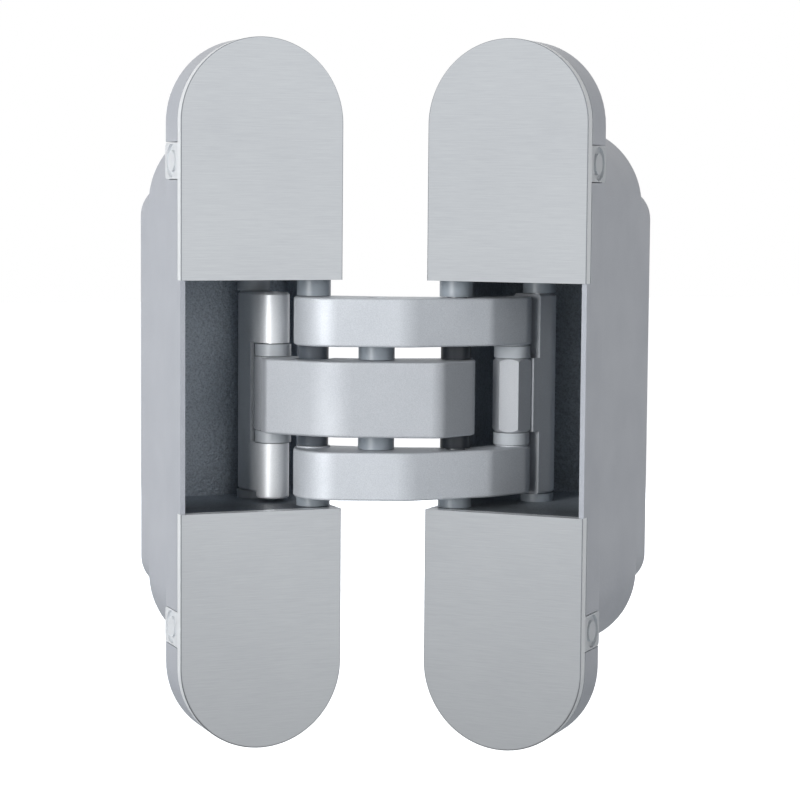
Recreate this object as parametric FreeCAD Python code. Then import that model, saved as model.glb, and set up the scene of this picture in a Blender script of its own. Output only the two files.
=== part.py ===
"""Concealed invisible door hinge with two unequal cast halves and a seven-pivot linkage.

Millimetres, +Z up along the pins. The frame half stands square to the axes, with its
front towards -Y. The origin is the middle of its four screw holes, halfway through its
flange. The door half stands at the opening angle of the rest pose.
"""

import FreeCAD
import Part
import math
import os

os.makedirs("parts", exist_ok=True)

# Both halves: one stadium outline, made with the same round cutter as the recess in the wood
WIDTH = 28.0
HEIGHT = 118.0
COVER_THICKNESS = 2.1
COVER_GAP = 0.2
COVER_EDGE_RADIUS = 0.25
WINDOW_HALF_HEIGHT = 19.2
FLANGE_BACK = 9.45
FLANGE_EDGE_RADIUS = 0.6
BODY_INSET = 0.15
BODY_EDGE_RADIUS = 0.8
BODY_CLEAR_OF_SCREWS = 1.2
BACK_CORNER_RADIUS = 5.5
BACK_END_STEP = 10.5
BACK_EDGE_RADIUS = 1.2
BACK_STEP = 5.4
RIM_SETBACK = 0.5
OUTER_WALL = 0.85
INNER_WALL = 1.3
BACK_WALL = 2.1
FRAME_SIDE_OPENING = 19.5
DOOR_SIDE_OPENING = 13.0
POCKET_CORNER_RADIUS = 2.5
# Room in the pocket behind the rear pivot; the door half is the deeper one
FRAME_REAR_ROOM = 4.32
DOOR_REAR_ROOM = 13.17

# Fixing screws, two beside each other at each end of a half
SCREW_HOLE_RADIUS = 2.3
SCREW_HEAD_RADIUS = 4.4
SCREW_HEAD_DEPTH = 2.6
SCREW_SPACING_ACROSS = 13.0
SCREW_FROM_END = 10.0

# Plastic clips that hold the covers, let into the flange
CLIP_FROM_END = 20.35
CLIP_HEIGHT = 5.9
CLIP_GAP = 0.15
CLIP_BAR_BACK = 5.2
CLIP_END = 4.2
CLIP_CORNER_RADIUS = 0.8
CLIP_RING_OUTER = 2.75
CLIP_RING_INNER = 1.75
CLIP_RING_DEPTH = 0.5
PEG_RADIUS = 1.2
PEG_LENGTH = 2.4
PEG_SPACING = 11.0
PEG_CLEARANCE = 0.05

# Opening angle of the rest pose, and the gap between the covers' inner edges there
REST_OPENING = 135.0
REST_GAP = 14.0

# Pivots in each half: distance from the inner edge, and depth behind the covers' front
FRONT_PIVOT = (2.95, 6.0)
FRAME_LINK_PIVOT = (7.76, 13.21)
FRAME_REAR_PIVOT = (9.02, 19.65)
DOOR_LINK_PIVOT = (10.0, 14.19)
DOOR_REAR_PIVOT = (12.44, 20.28)
# The rear pins stand a little beside the link holes, so that the play is shared over the travel
FRAME_REAR_PIN = (9.17, 19.58)
DOOR_REAR_PIN = (12.6, 20.23)
# The crossing of the arms, measured from the middle of the gap at rest
CROSSING = (-1.3, 1.34)
# Turn of the centre arm in the outer arms, from rest: fully open and closed
CROSSING_TURN_OPEN = 8.2
CROSSING_TURN_CLOSED = 24.5

# Pins, sleeves, bushes and washers
PIN_RADIUS = 1.7
PIN_CHAMFER = 0.3
PIN_SEAT = 6.4
FIXED_CLEARANCE = 0.02
RUNNING_CLEARANCE = 0.05
OPEN_PIVOT_CLEARANCE = 0.45
SLEEVE_RADIUS = 2.55
BUSH_RADIUS = 2.85
WASHER_RADIUS = 3.1
SPACER_RADIUS = 3.05
END_GAP = 0.1

# Heights of the stack, from its own middle, which hangs a little below the hinge's middle
LINKAGE_DROP = 0.5
CENTRE_ARM_TOP = 6.3
OUTER_ARM_BOTTOM = 8.75
OUTER_ARM_BELOW_WINDOW = 2.4
BOSS_HEIGHT = 0.25
CROSSING_PIN_RECESS = 0.5
LINK_BELOW_WINDOW = 2.0
LINK_BOSS = 0.9

# Arms: eyes, front faces and edges, in the frame of the gap at rest
EYE_RADIUS = 3.25
ARM_FRONT = -5.12
CENTRE_ARM_FRONT = -5.0
ARM_EDGE_RADIUS = 0.4
PATH_CLEARANCE = 0.2
# Corners of the arms seen from above, each with x, y and its rounding
ARM_BACK_RISE = 3.9
ARM_BACK_ROUNDING = 4.0
OUTER_ARM_EYE_ROUNDING = 7.5
OUTER_ARM_BEND = (4.2, ARM_FRONT, 7.0)
OUTER_ARM_NOSE = (18.1, 1.6, 4.5)
OUTER_ARM_NOSE_BACK = (13.9, 5.2, 1.5)
OUTER_ARM_WAIST = (3.2, 5.0, 2.0)
CENTRE_ARM_TAIL = (-20.8, 3.5, 0.8)
CENTRE_ARM_TAIL_BEND = (-20.0, 1.05, 1.2)
CENTRE_ARM_BEND = (-9.0, CENTRE_ARM_FRONT, 14.0)
CENTRE_ARM_CORNER = (9.5, CENTRE_ARM_FRONT, 3.0)
CENTRE_ARM_END_HEIGHT = 1.6
CENTRE_ARM_END_ROUNDING = 2.2
CENTRE_ARM_WAIST = (-5.5, 5.4, 2.0)
CENTRE_ARM_TAIL_BACK = (-13.6, 6.6, 1.5)

# Links
LINK_RADIUS = 3.05
FRAME_LINK_RADIUS = 2.8
EYE_CUT_CLEARANCE = 0.35
# Where the full width of each link begins beside the arm's eye, from the eye's centre
FRAME_LINK_SHOULDER = 2.9
DOOR_LINK_SHOULDER = 3.7
# Turn of the links on the arms' eyes, from rest: fully open and closed
LINK_TURN_OPEN = 32.2
LINK_TURN_CLOSED = 96.5
LINK_EDGE_RADIUS = 0.4
# The door link's middle knuckle is six-sided: radius over the corners, and a corner's direction
KNUCKLE_RADIUS = 3.29
KNUCKLE_CHAMFER = 0.5
KNUCKLE_CORNER = 288.5
KNUCKLE_SHOULDER = 2.2

# Sizes that follow from the ones above
SCREW_SPACING_UP = HEIGHT - 2 * SCREW_FROM_END
BODY_HEIGHT = SCREW_SPACING_UP - 2 * (SCREW_HOLE_RADIUS + BODY_CLEAR_OF_SCREWS)
BACK_HEIGHT = BODY_HEIGHT - 2 * BACK_END_STEP
CLIP_CENTRE = HEIGHT / 2 - CLIP_FROM_END
FRAME_DEPTH = FRAME_REAR_PIN[1] + FRAME_REAR_ROOM + BACK_WALL
DOOR_DEPTH = DOOR_REAR_PIN[1] + DOOR_REAR_ROOM + BACK_WALL
SEAT = COVER_THICKNESS + COVER_GAP
OUTER_ARM_TOP = WINDOW_HALF_HEIGHT - OUTER_ARM_BELOW_WINDOW
LINK_TOP = WINDOW_HALF_HEIGHT - LINK_BELOW_WINDOW
# The square cuts about an arm's eye and beyond a link's shoulder reach clear of the link
EYE_CUT_REACH = 2 * LINK_RADIUS
SHOULDER_CUT_REACH = 4 * LINK_RADIUS
ORIGIN_DEPTH = (SEAT + FLANGE_BACK) / 2
HALF_TURN = (180.0 - REST_OPENING) / 2.0
UP = FreeCAD.Vector(0, 0, 1)
INTO = FreeCAD.Vector(0, 1, 0)


def vec(x, y, z=0.0):
    return FreeCAD.Vector(x, y, z)


def turn(point, degrees):
    """Turn a plan point about the origin."""
    a = math.radians(degrees)
    x, y = point[0], point[1]
    return (x * math.cos(a) - y * math.sin(a), x * math.sin(a) + y * math.cos(a))


def gap_to_part(point):
    """From the frame of the gap at rest to the part's frame."""
    x, y = turn((point[0] + REST_GAP / 2, point[1]), -HALF_TURN)
    return (x + WIDTH / 2, y - ORIGIN_DEPTH)


def frame_point(pivot):
    """A point of the frame half, given from its inner edge and its front."""
    return (WIDTH / 2 - pivot[0], pivot[1] - ORIGIN_DEPTH)


def door_corner():
    """Inner front edge of the door half in the part's frame."""
    return gap_to_part((REST_GAP / 2, 0.0))


def door_point(pivot):
    x, y = turn(pivot, -2 * HALF_TURN)
    corner = door_corner()
    return (corner[0] + x, corner[1] + y)


def part_to_gap(point):
    x, y = turn((point[0] - WIDTH / 2, point[1] + ORIGIN_DEPTH), HALF_TURN)
    return (x - REST_GAP / 2, y)


def place_frame(shape):
    """Put a half built from its inner edge outwards on the frame side."""
    mirrored = shape.mirror(vec(0, 0, 0), vec(1, 0, 0))
    mirrored.translate(vec(WIDTH / 2, -ORIGIN_DEPTH))
    return mirrored


def place_door(shape):
    moved = shape.copy()
    moved.rotate(vec(0, 0, 0), UP, -2 * HALF_TURN)
    corner = door_corner()
    moved.translate(vec(corner[0], corner[1]))
    return moved


def lowered(shape):
    """From the height of the linkage's own middle down to where it hangs."""
    moved = shape.copy()
    moved.translate(vec(0, 0, -LINKAGE_DROP))
    return moved


def place_linkage(shape):
    """Put a piece built in the frame of the gap at rest into the part's frame."""
    moved = lowered(shape)
    moved.rotate(vec(0, 0, 0), UP, -HALF_TURN)
    origin = gap_to_part((0.0, 0.0))
    moved.translate(vec(origin[0], origin[1]))
    return moved


def post(centre, radius, z0, z1):
    return Part.makeCylinder(radius, z1 - z0, vec(centre[0], centre[1], z0), UP)


def tube(centre, radius, bore, z0, z1):
    return post(centre, radius, z0, z1).cut(post(centre, bore, z0 - 1, z1 + 1))


def box(x0, x1, y0, y1, z0, z1):
    return Part.makeBox(x1 - x0, y1 - y0, z1 - z0, vec(x0, y0, z0))


def rounded_wire(corners, place):
    """A closed outline of straight runs whose corners are rounded: each corner is x, y, radius."""
    edges = []
    ends = []
    count = len(corners)
    for i in range(count):
        here = vec(corners[i][0], corners[i][1])
        before = vec(corners[i - 1][0], corners[i - 1][1]) - here
        after = vec(corners[(i + 1) % count][0], corners[(i + 1) % count][1]) - here
        radius = corners[i][2]
        before.normalize()
        after.normalize()
        if radius == 0:
            ends.append((here, None, here))
            continue
        half = before.getAngle(after) / 2
        reach = radius / math.tan(half)
        middle = before + after
        middle.normalize()
        crown = here + middle * (radius / math.sin(half) - radius)
        ends.append((here + before * reach, crown, here + after * reach))
    for i in range(count):
        start, crown, stop = ends[i]
        if crown is not None:
            edges.append(Part.Arc(place(start), place(crown), place(stop)).toShape())
        following = ends[(i + 1) % count][0]
        if (following - stop).Length > 1e-6:
            edges.append(Part.makeLine(place(stop), place(following)))
    return Part.Wire(edges)


def plan_prism(corners, z0, z1):
    wire = rounded_wire(corners, lambda p: vec(p.x, p.y, z0))
    return Part.Face(wire).extrude(vec(0, 0, z1 - z0))


def front_prism(corners, y0, y1):
    """Extrude an outline drawn on the front (x and z) into the half."""
    wire = rounded_wire(corners, lambda p: vec(p.x, y0, p.y))
    return Part.Face(wire).extrude(vec(0, y1 - y0))


def round_ended(height, radius, y0, y1, inset=0.0):
    """A block as wide as the half, less an inset, with four rounded corners, up to a stadium."""
    h = height / 2
    far = WIDTH - inset
    r = min(radius, WIDTH / 2 - inset - 0.001)
    corners = [(inset, -h, r), (far, -h, r), (far, h, r), (inset, h, r)]
    return front_prism(corners, y0, y1)


def edges_on_plane(shape, y):
    """Edges that lie wholly on one plane across the half's depth."""
    return [e for e in shape.Edges if abs(e.BoundBox.YMin - y) < 1e-5 and abs(e.BoundBox.YMax - y) < 1e-5]


def level_edges(shape, z):
    return [e for e in shape.Edges if abs(e.BoundBox.ZMin - z) < 1e-5 and abs(e.BoundBox.ZMax - z) < 1e-5]


def pocket(depth, side_opening):
    """The room for the arms: open to the front, and to the inner side as far as the arms need."""
    h = WINDOW_HALF_HEIGHT
    far = WIDTH - OUTER_WALL
    r = POCKET_CORNER_RADIUS
    back = depth - BACK_WALL
    front_part = box(-1, far, -1, side_opening, -h, h)
    corners = [(INNER_WALL, 0, 0), (far, 0, 0), (far, back, r), (INNER_WALL, back, r)]
    return front_part.fuse(plan_prism(corners, -h, h))


def clip_channel():
    """The cut for one clip, across the flange and down both its sides."""
    half = CLIP_HEIGHT / 2 + CLIP_GAP
    z0 = CLIP_CENTRE - half
    z1 = CLIP_CENTRE + half
    across = box(-1, WIDTH + 1, 0, CLIP_BAR_BACK + CLIP_GAP, z0, z1)
    inner = box(-1, CLIP_END + CLIP_GAP, 0, FLANGE_BACK, z0, z1)
    outer = box(WIDTH - CLIP_END - CLIP_GAP, WIDTH + 1, 0, FLANGE_BACK, z0, z1)
    return across.fuse([inner, outer])


def screw_hole(x, z):
    hole = Part.makeCylinder(SCREW_HOLE_RADIUS, FLANGE_BACK + 1, vec(x, 0, z), INTO)
    head = Part.makeCone(
        SCREW_HEAD_RADIUS, SCREW_HOLE_RADIUS, SCREW_HEAD_DEPTH, vec(x, SEAT, z), INTO
    )
    return hole.fuse(head)


def both_ends(shape):
    """A cut or piece of the upper end with its mirror image at the lower end."""
    return [shape, shape.mirror(vec(0, 0, 0), UP)]


def housing(depth, side_opening, rear_pin):
    """One cast half: thick flange, deep body and stepped back, with the pocket for the arms."""
    body_back = depth - BACK_STEP
    flange = round_ended(HEIGHT, WIDTH / 2, SEAT, FLANGE_BACK)
    flange = flange.makeFillet(FLANGE_EDGE_RADIUS, edges_on_plane(flange, FLANGE_BACK))
    body = round_ended(BODY_HEIGHT, WIDTH / 2, SEAT + 1, body_back, BODY_INSET)
    body = body.makeFillet(BODY_EDGE_RADIUS, edges_on_plane(body, body_back))
    back = round_ended(BACK_HEIGHT, BACK_CORNER_RADIUS, SEAT + 1, depth, BODY_INSET)
    back = back.makeFillet(BACK_EDGE_RADIUS, edges_on_plane(back, depth))
    rim = box(0, WIDTH, RIM_SETBACK, SEAT + 1, -WINDOW_HALF_HEIGHT, WINDOW_HALF_HEIGHT)
    solid = flange.fuse([body, back, rim]).removeSplitter()
    cuts = [pocket(depth, side_opening)]
    cuts += both_ends(clip_channel())
    for side in (-1, 1):
        x = WIDTH / 2 + side * SCREW_SPACING_ACROSS / 2
        cuts += both_ends(screw_hole(x, SCREW_SPACING_UP / 2))
    reach = WINDOW_HALF_HEIGHT + PIN_SEAT
    for pin in (FRONT_PIVOT, rear_pin):
        cuts.append(post(pin, PIN_RADIUS + FIXED_CLEARANCE, -reach, reach))
    return solid.cut(cuts)


def cover():
    """The upper D-shaped cover plate with its two pegs; the lower one is its mirror image."""
    plate = round_ended(HEIGHT, WIDTH / 2, 0, COVER_THICKNESS)
    plate = plate.makeFillet(COVER_EDGE_RADIUS, edges_on_plane(plate, 0))
    plate = plate.common(box(-1, WIDTH + 1, -1, SEAT, WINDOW_HALF_HEIGHT, HEIGHT))
    pegs = []
    for side in (-1, 1):
        x = WIDTH / 2 + side * PEG_SPACING / 2
        base = vec(x, COVER_THICKNESS - 0.5, CLIP_CENTRE)
        pegs.append(Part.makeCylinder(PEG_RADIUS, PEG_LENGTH + 0.5, base, INTO))
    return plate.fuse(pegs).removeSplitter()


def clip():
    """The upper plastic clip: a bar under the cover with an end block on each side."""
    z0 = CLIP_CENTRE - CLIP_HEIGHT / 2
    z1 = CLIP_CENTRE + CLIP_HEIGHT / 2
    front = COVER_THICKNESS
    back = FLANGE_BACK - CLIP_GAP
    solid = box(0, WIDTH, front, CLIP_BAR_BACK, z0, z1)
    for x in (0, WIDTH - CLIP_END):
        block = box(x, x + CLIP_END, front, back, z0, z1)
        ends = [e for e in edges_on_plane(block, back) if e.BoundBox.ZLength < 0.01]
        solid = solid.fuse(block.makeFillet(CLIP_CORNER_RADIUS, ends))
    solid = solid.removeSplitter()
    middle = (front + FLANGE_BACK) / 2
    for x, way in ((0.0, 1), (WIDTH, -1)):
        direction = vec(way, 0)
        start = vec(x, middle, CLIP_CENTRE)
        ring = Part.makeCylinder(CLIP_RING_OUTER, CLIP_RING_DEPTH, start, direction)
        ring = ring.cut(Part.makeCylinder(CLIP_RING_INNER, CLIP_RING_DEPTH, start, direction))
        solid = solid.cut(ring)
    for side in (-1, 1):
        x = WIDTH / 2 + side * PEG_SPACING / 2
        hole = Part.makeCylinder(PEG_RADIUS + PEG_CLEARANCE, CLIP_BAR_BACK, vec(x, 0, CLIP_CENTRE), INTO)
        solid = solid.cut(hole)
    return solid


def pin(centre, half_length):
    shape = post(centre, PIN_RADIUS, -half_length, half_length)
    return shape.makeChamfer(PIN_CHAMFER, level_edges(shape, half_length) + level_edges(shape, -half_length))


def ring_pair(centre, radius, z0, z1):
    """Two rings on one pin, above and below the middle."""
    upper = tube(centre, radius, PIN_RADIUS + FIXED_CLEARANCE, z0, z1)
    return Part.makeCompound(both_ends(upper))


def bushes(centre, stack_top):
    """The bushes that fill the window above and below the linkage; the lower one is shorter."""
    end = WINDOW_HALF_HEIGHT - FIXED_CLEARANCE
    bore = PIN_RADIUS + FIXED_CLEARANCE
    upper = tube(centre, BUSH_RADIUS, bore, stack_top - LINKAGE_DROP + END_GAP, end)
    lower = tube(centre, BUSH_RADIUS, bore, -end, -stack_top - LINKAGE_DROP - END_GAP)
    return Part.makeCompound([upper, lower])


def path_of_pin(about, start, degrees_open, degrees_closed, radius, z0, z1):
    """The space swept by a pin or sleeve as it swings about the crossing, from closed to fully open."""
    dx = start[0] - about[0]
    dy = start[1] - about[1]
    distance = math.hypot(dx, dy)
    rest = math.degrees(math.atan2(dy, dx))
    low = rest + min(degrees_open, degrees_closed)
    high = rest + max(degrees_open, degrees_closed)
    ring = Part.makeCylinder(distance + radius, z1 - z0, vec(about[0], about[1], z0), UP, high - low)
    ring = ring.cut(post(about, distance - radius, z0, z1))
    ring.rotate(vec(about[0], about[1]), UP, low)
    ends = []
    for angle in (low, high):
        x = about[0] + distance * math.cos(math.radians(angle))
        y = about[1] + distance * math.sin(math.radians(angle))
        ends.append(post((x, y), radius, z0, z1))
    return ring.fuse(ends)


def direction(start, end):
    return math.degrees(math.atan2(end[1] - start[1], end[0] - start[0]))


def beside_eye(eye, rear, shoulder, z0, z1, turned=0.0, clearance=0.0):
    """The full width of a link beyond its shoulder, as a block, after a turn about the eye."""
    w = LINK_RADIUS + clearance
    block = box(shoulder - clearance, SHOULDER_CUT_REACH, -w, w, z0, z1)
    block.rotate(vec(0, 0), UP, direction(eye, rear) + turned)
    block.translate(vec(eye[0], eye[1]))
    return block


def path_of_link(eye, rear, shoulder, turn_open, turn_closed, z0, z1):
    """The space a link sweeps beside an arm's eye; the eye itself stays."""
    radius = LINK_RADIUS + PATH_CLEARANCE
    swept = path_of_pin(eye, rear, turn_open, turn_closed, radius, z0, z1)
    closed = beside_eye(eye, rear, shoulder, z0, z1, turn_closed, PATH_CLEARANCE)
    swept = swept.fuse(closed)
    return swept.cut(post(eye, EYE_RADIUS, z0, z1))


FRONT_LEFT = part_to_gap(frame_point(FRONT_PIVOT))
FRONT_RIGHT = part_to_gap(door_point(FRONT_PIVOT))
FRAME_LINK = part_to_gap(frame_point(FRAME_LINK_PIVOT))
FRAME_REAR = part_to_gap(frame_point(FRAME_REAR_PIVOT))
DOOR_LINK = part_to_gap(door_point(DOOR_LINK_PIVOT))
DOOR_REAR = part_to_gap(door_point(DOOR_REAR_PIVOT))


def touch(eye, corner, side):
    """Where a straight run from a corner touches an eye's outline, on its left or right side."""
    dx = corner[0] - eye[0]
    dy = corner[1] - eye[1]
    angle = math.atan2(dy, dx) + side * math.acos(EYE_RADIUS / math.hypot(dx, dy))
    return (eye[0] + EYE_RADIUS * math.cos(angle), eye[1] + EYE_RADIUS * math.sin(angle), 0)


def arm_blank(corners, eyes, z0, z1):
    """An arm before its relief is cut: outline with both eyes, rounded along its top and bottom."""
    solid = plan_prism(corners, z0, z1).fuse([post(eye, EYE_RADIUS, z0, z1) for eye in eyes])
    solid = solid.removeSplitter()
    return solid.makeFillet(ARM_EDGE_RADIUS, level_edges(solid, z0) + level_edges(solid, z1))


def outer_arm():
    """The upper outer arm: from the frame half's front pin over the crossing to the door link."""
    left, right = FRONT_LEFT, DOOR_LINK
    e = EYE_RADIUS
    left_front = (left[0] - e, ARM_FRONT, OUTER_ARM_EYE_ROUNDING)
    left_rear = (CROSSING[0], CROSSING[1] + ARM_BACK_RISE, ARM_BACK_ROUNDING)
    corners = [
        (left[0] - e, left[1], 0),
        left_front,
        OUTER_ARM_BEND,
        OUTER_ARM_NOSE,
        touch(right, OUTER_ARM_NOSE, 1),
        (right[0], right[1], 0),
        touch(right, OUTER_ARM_NOSE_BACK, -1),
        OUTER_ARM_NOSE_BACK,
        OUTER_ARM_WAIST,
        left_rear,
        touch(left, left_rear, 1),
        (left[0], left[1], 0),
    ]
    z0, z1 = OUTER_ARM_BOTTOM, OUTER_ARM_TOP
    solid = arm_blank(corners, (left, right), z0, z1)
    relief = path_of_pin(
        CROSSING, FRONT_RIGHT, -CROSSING_TURN_OPEN, CROSSING_TURN_CLOSED, PIN_RADIUS + PATH_CLEARANCE, z0, z1
    )
    link_path = path_of_link(
        DOOR_LINK, DOOR_REAR, DOOR_LINK_SHOULDER, LINK_TURN_OPEN, -LINK_TURN_CLOSED, z0, z1
    )
    solid = solid.cut([relief, link_path])
    for eye in (left, right):
        solid = solid.fuse(post(eye, e - ARM_EDGE_RADIUS, z0 - BOSS_HEIGHT, z0 + 1))
    fixed = PIN_RADIUS + FIXED_CLEARANCE
    running = PIN_RADIUS + RUNNING_CLEARANCE
    holes = [post(left, running, 0, z1 + 1), post(right, fixed, 0, z1 + 1)]
    holes.append(post(CROSSING, fixed, 0, z1 + 1))
    return solid.cut(holes).removeSplitter()


def centre_arm():
    """The tall middle arm: from the door half's front pin over the crossing to the frame link."""
    left, right = FRAME_LINK, FRONT_RIGHT
    e = EYE_RADIUS
    right_rear = (CROSSING[0], CROSSING[1] + ARM_BACK_RISE, ARM_BACK_ROUNDING)
    corners = [
        touch(left, CENTRE_ARM_TAIL, -1),
        CENTRE_ARM_TAIL,
        CENTRE_ARM_TAIL_BEND,
        CENTRE_ARM_BEND,
        CENTRE_ARM_CORNER,
        (right[0] + e, CENTRE_ARM_END_HEIGHT, CENTRE_ARM_END_ROUNDING),
        (right[0] + e, right[1], 0),
        (right[0], right[1], 0),
        touch(right, right_rear, -1),
        right_rear,
        CENTRE_ARM_WAIST,
        CENTRE_ARM_TAIL_BACK,
        touch(left, CENTRE_ARM_TAIL_BACK, 1),
        (left[0], left[1], 0),
    ]
    z1 = CENTRE_ARM_TOP
    solid = arm_blank(corners, (left, right), -z1, z1)
    relief = path_of_pin(
        CROSSING, FRONT_LEFT, CROSSING_TURN_OPEN, -CROSSING_TURN_CLOSED,
        SLEEVE_RADIUS + PATH_CLEARANCE, -z1, z1
    )
    link_path = path_of_link(
        FRAME_LINK, FRAME_REAR, FRAME_LINK_SHOULDER, -LINK_TURN_OPEN, LINK_TURN_CLOSED, -z1, z1
    )
    solid = solid.cut([relief, link_path])
    fixed = PIN_RADIUS + FIXED_CLEARANCE
    running = PIN_RADIUS + RUNNING_CLEARANCE
    holes = [post(left, fixed, -z1 - 1, z1 + 1), post(right, running, -z1 - 1, z1 + 1)]
    holes.append(post(CROSSING, running, -z1 - 1, z1 + 1))
    return solid.cut(holes).removeSplitter()


def link_body(eye, rear, r, z0, z1):
    """A link seen from above: two round ends joined by a straight web."""
    dx = rear[0] - eye[0]
    dy = rear[1] - eye[1]
    length = math.hypot(dx, dy)
    along = (dx / length, dy / length)
    side = (-along[1], along[0])
    corners = [
        (eye[0] + side[0] * r, eye[1] + side[1] * r, 0),
        (rear[0] + side[0] * r, rear[1] + side[1] * r, 0),
        (rear[0] - side[0] * r, rear[1] - side[1] * r, 0),
        (eye[0] - side[0] * r, eye[1] - side[1] * r, 0),
    ]
    web = plan_prism(corners, z0, z1)
    solid = web.fuse([post(eye, r, z0, z1), post(rear, r, z0, z1)]).removeSplitter()
    return solid.makeChamfer(LINK_EDGE_RADIUS, level_edges(solid, z0) + level_edges(solid, z1))


def eye_room(eye, rear, shoulder, z0, z1):
    """The cut in a link for an arm's eye: round about the eye, square at the shoulders."""
    room = box(-EYE_CUT_REACH, shoulder, -EYE_CUT_REACH, EYE_CUT_REACH, z0, z1)
    room.rotate(vec(0, 0), UP, direction(eye, rear))
    room.translate(vec(eye[0], eye[1]))
    return room.fuse(post(eye, EYE_RADIUS + EYE_CUT_CLEARANCE, z0, z1))


def link_holes(eye, rear):
    """Running hole at the eye; the hole at the rear is the linkage's open pivot, so it has play."""
    running = PIN_RADIUS + RUNNING_CLEARANCE
    loose = PIN_RADIUS + OPEN_PIVOT_CLEARANCE
    return [post(eye, running, -LINK_TOP - 1, LINK_TOP + 1), post(rear, loose, -LINK_TOP - 1, LINK_TOP + 1)]


def frame_link():
    """Short link of the frame half, with a knuckle above and below the centre arm's eye."""
    solid = link_body(FRAME_LINK, FRAME_REAR, FRAME_LINK_RADIUS, -LINK_TOP, LINK_TOP)
    inner = OUTER_ARM_BOTTOM - BOSS_HEIGHT + END_GAP
    solid = solid.cut(eye_room(FRAME_LINK, FRAME_REAR, FRAME_LINK_SHOULDER, -inner, inner))
    boss = post(FRAME_LINK, FRAME_LINK_RADIUS, -LINK_TOP - LINK_BOSS, -OUTER_ARM_TOP)
    boss = boss.makeFillet(LINK_EDGE_RADIUS, level_edges(boss, -LINK_TOP - LINK_BOSS))
    return solid.fuse(boss).cut(link_holes(FRAME_LINK, FRAME_REAR))


def knuckle(eye, z0, z1):
    """A six-sided post with turned chamfers at both ends."""
    corners = []
    for i in range(6):
        angle = math.radians(KNUCKLE_CORNER + 60 * i)
        x = eye[0] + KNUCKLE_RADIUS * math.cos(angle)
        y = eye[1] + KNUCKLE_RADIUS * math.sin(angle)
        corners.append((x, y, 0))
    turned = post(eye, KNUCKLE_RADIUS, z0, z1)
    turned = turned.makeChamfer(KNUCKLE_CHAMFER, level_edges(turned, z0) + level_edges(turned, z1))
    return turned.common(plan_prism(corners, z0, z1))


def door_link():
    """Short link of the door half, with one middle knuckle between the outer arms' eyes."""
    solid = link_body(DOOR_LINK, DOOR_REAR, LINK_RADIUS, -LINK_TOP, LINK_TOP)
    top = CENTRE_ARM_TOP
    cuts = both_ends(eye_room(DOOR_LINK, DOOR_REAR, DOOR_LINK_SHOULDER, top, LINK_TOP + 1))
    beside = box(-EYE_CUT_REACH, KNUCKLE_SHOULDER, -EYE_CUT_REACH, EYE_CUT_REACH, -top, top)
    beside.rotate(vec(0, 0), UP, direction(DOOR_LINK, DOOR_REAR))
    beside.translate(vec(DOOR_LINK[0], DOOR_LINK[1]))
    solid = solid.cut(cuts + [beside]).fuse(knuckle(DOOR_LINK, -top, top))
    return solid.cut(link_holes(DOOR_LINK, DOOR_REAR))


def half(side, depth, side_opening, rear_pin, place):
    """All the pieces that stay fixed to one half."""
    pieces = {}
    upper_cover, lower_cover = both_ends(cover())
    upper_clip, lower_clip = both_ends(clip())
    reach = WINDOW_HALF_HEIGHT + PIN_SEAT - 0.2
    pieces["housing"] = housing(depth, side_opening, rear_pin)
    pieces["cover_upper"] = upper_cover
    pieces["cover_lower"] = lower_cover
    pieces["cover_clip_upper"] = upper_clip
    pieces["cover_clip_lower"] = lower_clip
    pieces["front_pin"] = pin(FRONT_PIVOT, reach)
    pieces["rear_pin"] = pin(rear_pin, reach)
    pieces["front_bushes"] = bushes(FRONT_PIVOT, OUTER_ARM_TOP)
    pieces["rear_bushes"] = bushes(rear_pin, LINK_TOP)
    return {side + "_" + name: place(shape) for name, shape in pieces.items()}


def frame_sleeve():
    """The sleeve on the frame half's front pin, between the two outer arms."""
    top = OUTER_ARM_BOTTOM - BOSS_HEIGHT - END_GAP
    return tube(FRONT_PIVOT, SLEEVE_RADIUS, PIN_RADIUS + FIXED_CLEARANCE, -top, top)


def build():
    nodes = half("frame", FRAME_DEPTH, FRAME_SIDE_OPENING, FRAME_REAR_PIN, place_frame)
    nodes.update(half("door", DOOR_DEPTH, DOOR_SIDE_OPENING, DOOR_REAR_PIN, place_door))
    nodes["frame_pin_sleeve"] = place_frame(lowered(frame_sleeve()))
    collar_bottom = CENTRE_ARM_TOP + END_GAP
    collar_top = OUTER_ARM_BOTTOM - END_GAP
    collars = ring_pair(FRONT_PIVOT, SLEEVE_RADIUS, collar_bottom, collar_top)
    nodes["door_pin_collars"] = place_door(lowered(collars))
    upper_arm, lower_arm = both_ends(outer_arm())
    washer_top = OUTER_ARM_BOTTOM - BOSS_HEIGHT - END_GAP
    linkage = {
        "outer_arm_upper": upper_arm,
        "outer_arm_lower": lower_arm,
        "centre_arm": centre_arm(),
        "crossing_pin": pin(CROSSING, OUTER_ARM_TOP - CROSSING_PIN_RECESS),
        "crossing_spacers": ring_pair(CROSSING, SPACER_RADIUS, collar_bottom, collar_top),
        "frame_link": frame_link(),
        "door_link": door_link(),
        "frame_link_pin": pin(FRAME_LINK, LINK_TOP - END_GAP),
        "door_link_pin": pin(DOOR_LINK, OUTER_ARM_TOP - END_GAP),
        "frame_link_washers": ring_pair(FRAME_LINK, WASHER_RADIUS, collar_bottom, washer_top),
        "door_link_washers": ring_pair(DOOR_LINK, WASHER_RADIUS, collar_bottom, washer_top),
    }
    for name, shape in linkage.items():
        nodes[name] = place_linkage(shape)
    return nodes


if __name__ == "__main__":
    for name, shape in build().items():
        shape.exportStep("parts/" + name + ".step")
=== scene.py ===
"""Concealed door hinge, half open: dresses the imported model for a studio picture."""

import math

import bpy
from mathutils import Matrix, Vector

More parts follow.
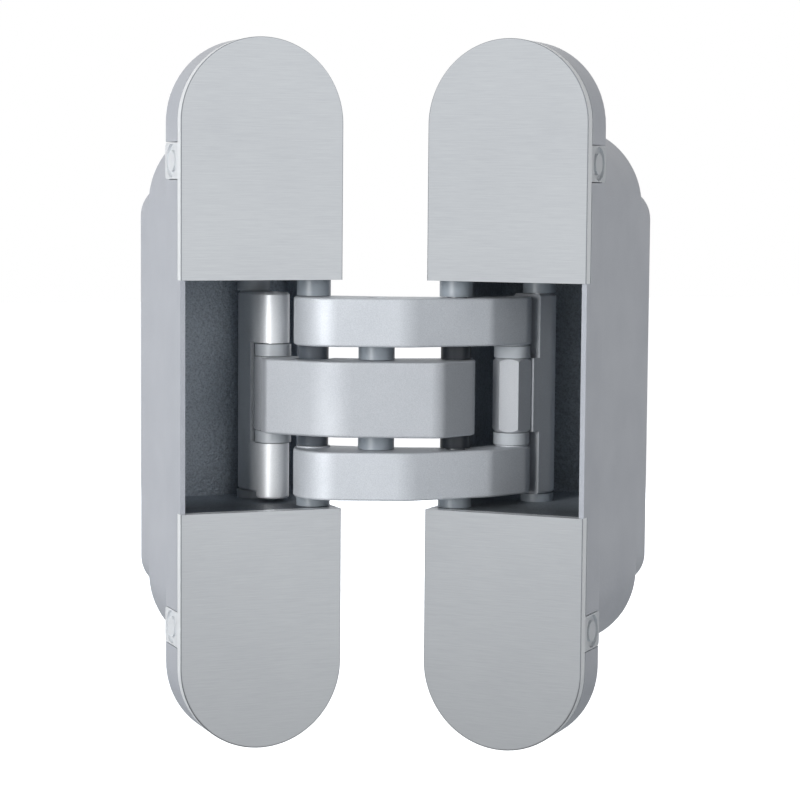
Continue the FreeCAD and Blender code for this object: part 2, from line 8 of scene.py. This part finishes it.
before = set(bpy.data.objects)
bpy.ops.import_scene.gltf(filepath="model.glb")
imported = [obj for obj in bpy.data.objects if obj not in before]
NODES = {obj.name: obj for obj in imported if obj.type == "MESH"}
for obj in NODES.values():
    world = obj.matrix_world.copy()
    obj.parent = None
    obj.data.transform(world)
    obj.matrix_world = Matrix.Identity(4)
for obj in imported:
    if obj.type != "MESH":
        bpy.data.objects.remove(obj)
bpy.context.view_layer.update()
bpy.ops.object.select_all(action="DESELECT")

MM = 0.001

# The picture is seen from between the two halves: the frame half stands square to the axes,
# and the view is turned away from it by half of what the hinge lacks to be straight.
HALF_TURN = math.radians(22.5)
VIEW_TURN = HALF_TURN - math.radians(0.853)
VIEW_PITCH = math.radians(4.767)
VIEW_ROLL = math.radians(0.458)
VIEW_DISTANCE = 400.0 * MM
VIEW_AIM = Vector((22.965, -9.589, -0.828)) * MM
VIEW_LENS = 107.5
SENSOR_WIDTH = 36.0
VIEW_NEAR = 0.01
VIEW_FAR = 20.0

# Sizes of the halves, as in the part's source
WIDTH = 28.0 * MM
GAP = 14.0 * MM
ORIGIN_DEPTH = 5.875 * MM
WINDOW_HALF_HEIGHT = 19.2 * MM
POCKET_DEPTH = {"frame": 24.4 * MM, "door": 33.9 * MM}

# Where a housing counts as pocket wall: across from its inner edge, up, and in from its front
POCKET_INNER_EDGE = 1.2 * MM
POCKET_OUTER_EDGE = WIDTH - 0.78 * MM
POCKET_HALF_HEIGHT = WINDOW_HALF_HEIGHT + 0.1 * MM
POCKET_RIM = (0.55 * MM, 0.65 * MM)
POCKET_SOFTNESS = 0.03 * MM
# Depths between which the painted shade on a pocket's walls goes from its front colour to its back
# colour
POCKET_SHADE_FADE = (8.0 * MM, 20.0 * MM)
# Painted shade on each half's pocket walls: its colour at the front and at the back
POCKET_SHADE_FRONT = {"frame": (0.05, 0.061, 0.075, 1.0), "door": (0.14, 0.155, 0.17, 1.0)}
POCKET_SHADE_BACK = {"frame": (0.38, 0.43, 0.49, 1.0), "door": (0.38, 0.42, 0.465, 1.0)}
PIT_COLOUR = (0.02, 0.026, 0.032, 1.0)
POCKET_RELIEF = 8.0

# Painted shade as a dark line on a cover's rounded edge, and a painted highlight on its cut sides
COVER_EDGE_START = 0.04 * MM
COVER_EDGE = 0.25 * MM
COVER_EDGE_SOFTNESS = 0.02 * MM
COVER_SIDE_FADE = 0.05 * MM
COVER_EDGE_SHADE = (0.27, 0.29, 0.315, 1.0)
COVER_SIDE_HIGHLIGHT = (0.84, 0.86, 0.88, 1.0)
COVER_SIDE_METALLIC = 0.25

FLOOR_SIZE = 6.0
FLOOR_LEVEL = -118.0 * MM
FLOOR_COLOUR = (0.80, 0.85, 0.90, 1.0)
FLOOR_ROUGHNESS = 0.8
FLOOR_WHITENING = 0.9
# In reflections the floor is a glow with painted shade: dim close to the hinge and nearly white
# far off, over this reach
FLOOR_SHADE = 0.3
FLOOR_FAR_SHADE = 0.95
FLOOR_SHADE_REACH = (0.05, 0.6)

WHITE = (1.0, 1.0, 1.0, 1.0)
AMBIENT_COLOUR = (0.9, 0.95, 1.0, 1.0)
AMBIENT = 0.08

# What each of the shared metal finishes puts out
FINISH_OUTPUTS = [
    ("Color", "NodeSocketColor"),
    ("Roughness", "NodeSocketFloat"),
    ("Height", "NodeSocketFloat"),
]


def view_axes():
    """Right, up and forward of the camera before its slight roll."""
    forward = Vector(
        (
            math.sin(VIEW_TURN) * math.cos(VIEW_PITCH),
            math.cos(VIEW_TURN) * math.cos(VIEW_PITCH),
            -math.sin(VIEW_PITCH),
        )
    )
    right = Vector((math.cos(VIEW_TURN), -math.sin(VIEW_TURN), 0.0))
    return right, right.cross(forward), forward


def make_camera():
    right, up, forward = view_axes()
    x_axis = right * math.cos(VIEW_ROLL) + up * math.sin(VIEW_ROLL)
    y_axis = up * math.cos(VIEW_ROLL) - right * math.sin(VIEW_ROLL)
    turn = Matrix((x_axis, y_axis, -forward)).transposed()
    bpy.ops.object.camera_add(location=VIEW_AIM - forward * VIEW_DISTANCE)
    camera = bpy.context.object
    camera.name = "view_camera"
    camera.rotation_mode = "QUATERNION"
    camera.rotation_quaternion = turn.to_quaternion()
    camera.data.lens = VIEW_LENS
    camera.data.sensor_width = SENSOR_WIDTH
    camera.data.clip_start = VIEW_NEAR
    camera.data.clip_end = VIEW_FAR
    bpy.context.scene.camera = camera


def new_group(name, inputs, outputs):
    """An empty shader group: inputs are (name, default), outputs are (name, socket type)."""
    group = bpy.data.node_groups.new(name, "ShaderNodeTree")
    for label, default in inputs:
        kind = "NodeSocketFloat"
        if isinstance(default, tuple):
            kind = "NodeSocketVector" if len(default) == 3 else "NodeSocketColor"
        socket = group.interface.new_socket(label, in_out="INPUT", socket_type=kind)
        socket.default_value = default
    for label, kind in outputs:
        group.interface.new_socket(label, in_out="OUTPUT", socket_type=kind)
    return group, group.nodes.new("NodeGroupInput"), group.nodes.new("NodeGroupOutput")


def add(tree, kind, values=None, **settings):
    """A node with its settings, and plain values on its input sockets."""
    node = tree.nodes.new(kind)
    for key, value in settings.items():
        setattr(node, key, value)
    for key, value in (values or {}).items():
        node.inputs[key].default_value = value
    return node


def stretched(tree, place, scale):
    """A place socket scaled along each axis, in pattern units per metre."""
    mapping = add(tree, "ShaderNodeMapping", {"Scale": scale})
    tree.links.new(place, mapping.inputs["Vector"])
    return mapping.outputs["Vector"]


def mixed(tree, factor, a, b):
    """Colour a to colour b by a factor socket; a and b are sockets or plain colours."""
    mix = add(tree, "ShaderNodeMix", data_type="RGBA")
    tree.links.new(factor, mix.inputs["Factor"])
    for socket, value in ((mix.inputs[6], a), (mix.inputs[7], b)):
        if isinstance(value, tuple):
            socket.default_value = value
        else:
            tree.links.new(value, socket)
    return mix.outputs[2]


def arithmetic(tree, operation, a, b, clamp=False):
    """The result of a Math node; a and b are sockets or plain numbers."""
    node = add(tree, "ShaderNodeMath", operation=operation, use_clamp=clamp)
    for socket, value in ((node.inputs[0], a), (node.inputs[1], b)):
        if isinstance(value, (int, float)):
            socket.default_value = value
        else:
            tree.links.new(value, socket)
    return node.outputs[0]


def ramp(tree, value, low, high, to_low=0.0, to_high=1.0):
    """A value socket taken from one range to another, and held at its ends."""
    ends = {"From Min": low, "From Max": high, "To Min": to_low, "To Max": to_high}
    node = add(tree, "ShaderNodeMapRange", ends)
    tree.links.new(value, node.inputs["Value"])
    return node.outputs["Result"]


def door_corner():
    """Inner front edge of the door half at rest, as in the part's source."""
    across = WIDTH / 2 + GAP * math.cos(HALF_TURN)
    return Vector((across, -GAP * math.sin(HALF_TURN) - ORIGIN_DEPTH, 0.0))


def half_place(tree, half):
    """Place on a half: x outwards from its inner edge, y into it from its front, z up."""
    coords = add(tree, "ShaderNodeTexCoord")
    mapping = add(tree, "ShaderNodeMapping", vector_type="TEXTURE")
    if half == "frame":
        mapping.inputs["Location"].default_value = (WIDTH / 2, -ORIGIN_DEPTH, 0.0)
        mapping.inputs["Scale"].default_value = (-1.0, 1.0, 1.0)
    else:
        mapping.inputs["Location"].default_value = door_corner()
        mapping.inputs["Rotation"].default_value = (0.0, 0.0, -2 * HALF_TURN)
    tree.links.new(coords.outputs["Object"], mapping.inputs["Vector"])
    return mapping.outputs["Vector"]


def grain_group():
    """Sprayed silver paint on a casting: soft orange peel, fine flake, faint cloudiness."""
    group, into, out = new_group(
        "sprayed_grain",
        [
            ("Place", (0.0, 0.0, 0.0)),
            ("Light", (0.6, 0.6, 0.6, 1.0)),
            ("Dark", (0.5, 0.5, 0.5, 1.0)),
            ("Roughness", 0.4),
        ],
        FINISH_OUTPUTS,
    )
    link = group.links.new
    peel = add(group, "ShaderNodeTexNoise", {"Scale": 1300.0, "Detail": 2.0, "Roughness": 0.5})
    flake = add(group, "ShaderNodeTexNoise", {"Scale": 6500.0, "Detail": 1.0})
    cloud = add(group, "ShaderNodeTexNoise", {"Scale": 110.0, "Detail": 3.0})
    for noise in (peel, flake, cloud):
        link(into.outputs["Place"], noise.inputs["Vector"])
    speck = arithmetic(group, "MULTIPLY", ramp(group, flake.outputs["Fac"], 0.35, 0.65), 0.5)
    share = arithmetic(group, "MULTIPLY", cloud.outputs["Fac"], 0.5)
    share = arithmetic(group, "ADD", share, speck)
    link(mixed(group, share, into.outputs["Light"], into.outputs["Dark"]), out.inputs["Color"])
    rough = ramp(group, cloud.outputs["Fac"], 0.0, 1.0, -0.08, 0.08)
    link(arithmetic(group, "ADD", into.outputs["Roughness"], rough, True), out.inputs["Roughness"])
    height = arithmetic(group, "MULTIPLY", flake.outputs["Fac"], 0.15)
    link(arithmetic(group, "ADD", height, peel.outputs["Fac"]), out.inputs["Height"])
    return group


def brushed_group():
    """Fine straight brushing along the level, with short broken streaks."""
    group, into, out = new_group(
        "level_brushing",
        [
            ("Place", (0.0, 0.0, 0.0)),
            ("Light", (0.6, 0.6, 0.6, 1.0)),
            ("Dark", (0.5, 0.5, 0.5, 1.0)),
            ("Roughness", 0.35),
        ],
        FINISH_OUTPUTS,
    )
    link = group.links.new
    place = into.outputs["Place"]
    fine = add(group, "ShaderNodeTexNoise", {"Scale": 1.0, "Detail": 3.0, "Roughness": 0.6})
    link(stretched(group, place, (420.0, 420.0, 16000.0)), fine.inputs["Vector"])
    streak = add(group, "ShaderNodeTexNoise", {"Scale": 1.0, "Detail": 2.0, "Roughness": 0.5})
    link(stretched(group, place, (150.0, 150.0, 5200.0)), streak.inputs["Vector"])
    cloud = add(group, "ShaderNodeTexNoise", {"Scale": 60.0, "Detail": 1.0})
    link(place, cloud.inputs["Vector"])
    both = arithmetic(group, "ADD", fine.outputs["Fac"], streak.outputs["Fac"])
    share = ramp(group, both, 0.7, 1.3, 0.0, 0.6)
    patches = arithmetic(group, "MULTIPLY", cloud.outputs["Fac"], 0.4)
    share = arithmetic(group, "ADD", share, patches)
    link(mixed(group, share, into.outputs["Light"], into.outputs["Dark"]), out.inputs["Color"])
    rough = arithmetic(group, "MULTIPLY", share, 0.1)
    link(arithmetic(group, "ADD", into.outputs["Roughness"], rough, True), out.inputs["Roughness"])
    link(both, out.inputs["Height"])
    return group


def band_mask(tree, value, low, high, soft):
    """1 where a value lies between two ends, falling to 0 over a soft width at each."""
    rise = ramp(tree, value, low - soft, low + soft)
    fall = ramp(tree, value, high - soft, high + soft, 1.0, 0.0)
    return arithmetic(tree, "MULTIPLY", rise, fall)


def pocket_group():
    """Masks on a housing for the painted shade and rougher relief in its pocket: Pocket is 1 on
    its pocket's walls, Deep grows towards its back.
    """
    group, into, out = new_group(
        "housing_places",
        [("Place", (0.0, 0.0, 0.0)), ("Depth", 20.0 * MM)],
        [("Pocket", "NodeSocketFloat"), ("Deep", "NodeSocketFloat")],
    )
    link = group.links.new
    split = add(group, "ShaderNodeSeparateXYZ")
    link(into.outputs["Place"], split.inputs[0])
    across, deep, up = split.outputs
    tall = POCKET_HALF_HEIGHT
    mask = band_mask(group, across, POCKET_INNER_EDGE, POCKET_OUTER_EDGE, POCKET_SOFTNESS)
    level = band_mask(group, up, -tall, tall, POCKET_SOFTNESS)
    mask = arithmetic(group, "MULTIPLY", mask, level)
    mask = arithmetic(group, "MULTIPLY", mask, ramp(group, deep, *POCKET_RIM))
    ahead = arithmetic(group, "LESS_THAN", deep, into.outputs["Depth"])
    link(arithmetic(group, "MULTIPLY", mask, ahead), out.inputs["Pocket"])
    link(ramp(group, deep, *POCKET_SHADE_FADE), out.inputs["Deep"])
    return group


def finish_shader(tree, group, place, light, dark, roughness, metallic, depth):
    """Place a shared effect in a material and give it colours; returns the effect and shader."""
    shader = tree.nodes["Principled BSDF"]
    shader.inputs["Metallic"].default_value = metallic
    effect = add(tree, "ShaderNodeGroup", node_tree=group)
    effect.inputs["Light"].default_value = (*light, 1.0)
    effect.inputs["Dark"].default_value = (*dark, 1.0)
    effect.inputs["Roughness"].default_value = roughness
    bump = add(tree, "ShaderNodeBump", {"Strength": 1.0, "Distance": depth * MM})
    tree.links.new(place, effect.inputs["Place"])
    tree.links.new(effect.outputs["Color"], shader.inputs["Base Color"])
    tree.links.new(effect.outputs["Roughness"], shader.inputs["Roughness"])
    tree.links.new(effect.outputs["Height"], bump.inputs["Height"])
    tree.links.new(bump.outputs["Normal"], shader.inputs["Normal"])
    return effect, shader


def new_material(name):
    material = bpy.data.materials.new(name)
    material.use_nodes = True
    return material, material.node_tree


def metal(name, group, light, dark, roughness, metallic, depth):
    """A metal finish from one of the shared effects; depth is that of its relief in mm."""
    material, tree = new_material(name)
    place = add(tree, "ShaderNodeTexCoord").outputs["Object"]
    finish_shader(tree, group, place, light, dark, roughness, metallic, depth)
    return material


def housing_paint_and_pocket_shade(half, grain, places):
    """Silver paint outside; inside the pocket, painted shade over the rough casting, going from a
    front colour to a back colour with depth.
    """
    material, tree = new_material(half + "_housing_paint_and_pocket_shade")
    place = half_place(tree, half)
    effect, shader = finish_shader(
        tree, grain, place,
        light=(0.515, 0.535, 0.58), dark=(0.43, 0.45, 0.495),
        roughness=0.42, metallic=0.22, depth=0.02,
    )
    masks = add(tree, "ShaderNodeGroup", node_tree=places)
    masks.inputs["Depth"].default_value = POCKET_DEPTH[half]
    tree.links.new(place, masks.inputs["Place"])
    # Painted shade on the pocket walls, from the front colour to the back colour with depth
    pocket_shade = mixed(tree, masks.outputs["Deep"], POCKET_SHADE_FRONT[half], POCKET_SHADE_BACK[half])
    casting = add(tree, "ShaderNodeTexNoise", {"Scale": 3400.0, "Detail": 2.0, "Roughness": 0.6})
    tree.links.new(place, casting.inputs["Vector"])
    pits = ramp(tree, casting.outputs["Fac"], 0.3, 0.62, 0.6, 1.0)
    pocket_shade = mixed(tree, pits, PIT_COLOUR, pocket_shade)
    colour = mixed(tree, masks.outputs["Pocket"], effect.outputs["Color"], pocket_shade)
    tree.links.new(colour, shader.inputs["Base Color"])
    rougher = ramp(tree, masks.outputs["Pocket"], 0.0, 1.0, 1.0, POCKET_RELIEF)
    height = arithmetic(tree, "MULTIPLY", effect.outputs["Height"], rougher)
    tree.links.new(height, tree.nodes["Bump"].inputs["Height"])
    return material


def cover_metal(half, brushing):
    """Brushed aluminium sheet: satin face, painted shade as a dark line along the rounded edge,
    and a painted highlight on the cut sides.
    """
    material, tree = new_material(half + "_cover_brushed")
    place = half_place(tree, half)
    effect, shader = finish_shader(
        tree, brushing, place,
        light=(0.67, 0.70, 0.725), dark=(0.57, 0.595, 0.63),
        roughness=0.34, metallic=1.0, depth=0.003,
    )
    split = add(tree, "ShaderNodeSeparateXYZ")
    tree.links.new(place, split.inputs[0])
    deep = split.outputs["Y"]
    # Painted shade as a dark line on the rounded edge, and a painted highlight on the cut sides
    edge = band_mask(tree, deep, COVER_EDGE_START, COVER_EDGE, COVER_EDGE_SOFTNESS)
    side_highlight = ramp(tree, deep, COVER_EDGE, COVER_EDGE + COVER_SIDE_FADE)
    colour = mixed(tree, edge, effect.outputs["Color"], COVER_EDGE_SHADE)
    colour = mixed(tree, side_highlight, colour, COVER_SIDE_HIGHLIGHT)
    tree.links.new(colour, shader.inputs["Base Color"])
    metallic = ramp(tree, side_highlight, 0.0, 1.0, 1.0, COVER_SIDE_METALLIC)
    tree.links.new(metallic, shader.inputs["Metallic"])
    return material


def plastic(name, light, dark, roughness):
    """Moulded plastic with faint clouds and a fine spark-eroded surface."""
    material, tree = new_material(name)
    shader = tree.nodes["Principled BSDF"]
    shader.inputs["Roughness"].default_value = roughness
    place = add(tree, "ShaderNodeTexCoord").outputs["Object"]
    cloud = add(tree, "ShaderNodeTexNoise", {"Scale": 200.0, "Detail": 3.0})
    grain = add(tree, "ShaderNodeTexNoise", {"Scale": 5000.0, "Detail": 2.0})
    for noise in (cloud, grain):
        tree.links.new(place, noise.inputs["Vector"])
    colour = mixed(tree, cloud.outputs["Fac"], (*light, 1.0), (*dark, 1.0))
    bump = add(tree, "ShaderNodeBump", {"Strength": 0.4, "Distance": 0.01 * MM})
    tree.links.new(colour, shader.inputs["Base Color"])
    tree.links.new(grain.outputs["Fac"], bump.inputs["Height"])
    tree.links.new(bump.outputs["Normal"], shader.inputs["Normal"])
    return material


def dress(material, *names):
    """Give the finish to CAD nodes."""
    for name in names:
        node = NODES[name]
        node.data.materials.clear()
        node.data.materials.append(material)


def both_halves(*names):
    """The nodes of these names on the frame half and on the door half."""
    return [half + "_" + name for half in ("frame", "door") for name in names]


def make_materials():
    grain = grain_group()
    brushing = brushed_group()
    places = pocket_group()
    for half in ("frame", "door"):
        dress(housing_paint_and_pocket_shade(half, grain, places), half + "_housing")
        dress(cover_metal(half, brushing), half + "_cover_upper", half + "_cover_lower")
    outer_arms = metal(
        "outer_arm_paint", grain, light=(0.62, 0.645, 0.68), dark=(0.465, 0.49, 0.525),
        roughness=0.54, metallic=0.2, depth=0.016,
    )
    # The centre arm wears a darker copy of the arms' paint, a painted shade
    centre_arm = metal(
        "centre_arm_shaded_paint", grain, light=(0.52, 0.54, 0.57), dark=(0.39, 0.41, 0.44),
        roughness=0.54, metallic=0.2, depth=0.016,
    )
    # The frame link wears a lightened copy and the door link a darkened copy of one paint: painted
    # light and painted shade
    frame_link = metal(
        "frame_link_lightened_paint", grain, light=(0.86, 0.88, 0.90), dark=(0.74, 0.76, 0.78),
        roughness=0.48, metallic=0.3, depth=0.01,
    )
    door_link = metal(
        "door_link_darkened_paint", grain, light=(0.62, 0.64, 0.67), dark=(0.54, 0.56, 0.59),
        roughness=0.42, metallic=0.3, depth=0.01,
    )
    steel = metal(
        "pin_steel", brushing, light=(0.4, 0.41, 0.43), dark=(0.32, 0.33, 0.35),
        roughness=0.3, metallic=1.0, depth=0.002,
    )
    clip = plastic("clip_plastic", (0.78, 0.80, 0.82), (0.72, 0.74, 0.76), roughness=0.4)
    bush = plastic("bush_plastic", (0.33, 0.37, 0.41), (0.28, 0.315, 0.35), roughness=0.4)
    washer = plastic("washer_plastic", (0.56, 0.59, 0.62), (0.50, 0.53, 0.56), roughness=0.42)
    # Sleeve and collars are darkened to stand for the shade they lie in: painted shade
    sleeve = plastic("sleeve_shaded_plastic", (0.11, 0.125, 0.145), (0.085, 0.1, 0.12), roughness=0.36)
    collar = plastic("collar_shaded_plastic", (0.03, 0.036, 0.044), (0.022, 0.027, 0.034), roughness=0.42)
    dress(clip, *both_halves("cover_clip_upper", "cover_clip_lower"))
    dress(steel, *both_halves("front_pin", "rear_pin", "link_pin"), "crossing_pin")
    dress(bush, *both_halves("front_bushes"), "crossing_spacers", "door_rear_bushes")
    # The frame's rear bushes take the lighter washer plastic instead of the bush plastic, a
    # painted light where they lie in shade
    dress(washer, *both_halves("link_washers"), "frame_rear_bushes")
    dress(sleeve, "frame_pin_sleeve")
    dress(collar, "door_pin_collars")
    dress(frame_link, "frame_link")
    dress(door_link, "door_link")
    dress(outer_arms, "outer_arm_upper", "outer_arm_lower")
    dress(centre_arm, "centre_arm")


def seen_directly(tree):
    """1 for rays from the camera, off gloss or through glass, 0 for light that falls on things."""
    path = add(tree, "ShaderNodeLightPath")
    rays = path.outputs
    either = arithmetic(tree, "MAXIMUM", rays["Is Camera Ray"], rays["Is Glossy Ray"])
    return arithmetic(tree, "MAXIMUM", either, rays["Is Transmission Ray"])


def make_floor():
    """A pale floor that the camera sees as white and that keeps the hinge's shadow."""
    bpy.ops.mesh.primitive_plane_add(size=FLOOR_SIZE, location=(0.0, 0.0, FLOOR_LEVEL))
    floor = bpy.context.object
    floor.name = "studio_floor"
    material, tree = new_material("pale_floor")
    shader = tree.nodes["Principled BSDF"]
    shader.inputs["Base Color"].default_value = FLOOR_COLOUR
    shader.inputs["Roughness"].default_value = FLOOR_ROUGHNESS
    shader.inputs["Emission Color"].default_value = WHITE
    glow = arithmetic(tree, "MULTIPLY", seen_directly(tree), FLOOR_WHITENING)
    tree.links.new(glow, shader.inputs["Emission Strength"])
    coords = add(tree, "ShaderNodeTexCoord")
    reach = add(tree, "ShaderNodeVectorMath", operation="LENGTH")
    tree.links.new(coords.outputs["Object"], reach.inputs[0])
    distance = reach.outputs["Value"]
    # In reflections the floor is a glow with painted shade, dim near the hinge, in place of its
    # lit surface
    shade = ramp(tree, distance, *FLOOR_SHADE_REACH, FLOOR_SHADE, FLOOR_FAR_SHADE)
    mirrored = add(tree, "ShaderNodeEmission")
    tree.links.new(shade, mirrored.inputs["Strength"])
    path = add(tree, "ShaderNodeLightPath")
    choose = add(tree, "ShaderNodeMixShader")
    tree.links.new(path.outputs["Is Glossy Ray"], choose.inputs[0])
    tree.links.new(shader.outputs[0], choose.inputs[1])
    tree.links.new(mirrored.outputs[0], choose.inputs[2])
    tree.links.new(choose.outputs[0], tree.nodes["Material Output"].inputs["Surface"])
    floor.data.materials.append(material)


def make_world():
    """White where it is seen, and a faint even light where it falls on things."""
    world = bpy.data.worlds.new("studio_world")
    world.use_nodes = True
    bpy.context.scene.world = world
    tree = world.node_tree
    tree.nodes.clear()
    seen = seen_directly(tree)
    soft = add(tree, "ShaderNodeBackground", {"Color": AMBIENT_COLOUR, "Strength": AMBIENT})
    white = add(tree, "ShaderNodeBackground", {"Color": WHITE, "Strength": 1.0})
    choose = add(tree, "ShaderNodeMixShader")
    out = add(tree, "ShaderNodeOutputWorld")
    tree.links.new(seen, choose.inputs[0])
    tree.links.new(soft.outputs[0], choose.inputs[1])
    tree.links.new(white.outputs[0], choose.inputs[2])
    tree.links.new(choose.outputs[0], out.inputs["Surface"])


def soft_light(name, aside, above, distance, size, level, sheen_on=()):
    """A soft box aimed at the hinge: degrees right of the view and above it, and light level.

    It lights everything without showing in reflections, or shows only as a sheen on some nodes.
    """
    right, _, _ = view_axes()
    ahead = Vector((math.sin(VIEW_TURN), math.cos(VIEW_TURN), 0.0))
    a, b = math.radians(aside), math.radians(above)
    level_way = right * math.sin(a) - ahead * math.cos(a)
    away = level_way * math.cos(b) + Vector((0.0, 0.0, math.sin(b)))
    bpy.ops.object.light_add(type="AREA", location=VIEW_AIM + away * distance)
    light = bpy.context.object
    light.name = name
    light.rotation_mode = "QUATERNION"
    light.rotation_quaternion = (-away).to_track_quat("-Z", "Y")
    light.visible_glossy = bool(sheen_on)
    light.visible_diffuse = not sheen_on
    if sheen_on:
        receivers = bpy.data.collections.new(name + "_receivers")
        for node in sheen_on:
            receivers.objects.link(NODES[node])
        light.light_linking.receiver_collection = receivers
    light.data.shape = "RECTANGLE"
    light.data.size = size[0]
    light.data.size_y = size[1]
    light.data.energy = level * math.pi**2 * distance**2


def make_studio():
    make_world()
    make_floor()
    soft_light("left_box", aside=-36.0, above=12.0, distance=0.75, size=(0.25, 0.5), level=0.8)
    soft_light("right_box", aside=38.0, above=10.0, distance=0.75, size=(0.4, 0.6), level=0.15)
    soft_light("top_box", aside=-10.0, above=80.0, distance=0.7, size=(0.6, 0.5), level=0.05)
    dull = ("housing", "cover", "collars", "sleeve", "door_link")
    shiny = [name for name in NODES if not any(word in name for word in dull)]
    soft_light(
        "sheen_box", aside=-34.0, above=12.0, distance=0.75, size=(0.2, 0.5), level=1.0,
        sheen_on=shiny,
    )
    soft_light("back_box", aside=185.0, above=15.0, distance=0.8, size=(0.6, 0.6), level=0.45)


bpy.context.scene.view_settings.view_transform = "Standard"
make_camera()
make_materials()
make_studio()
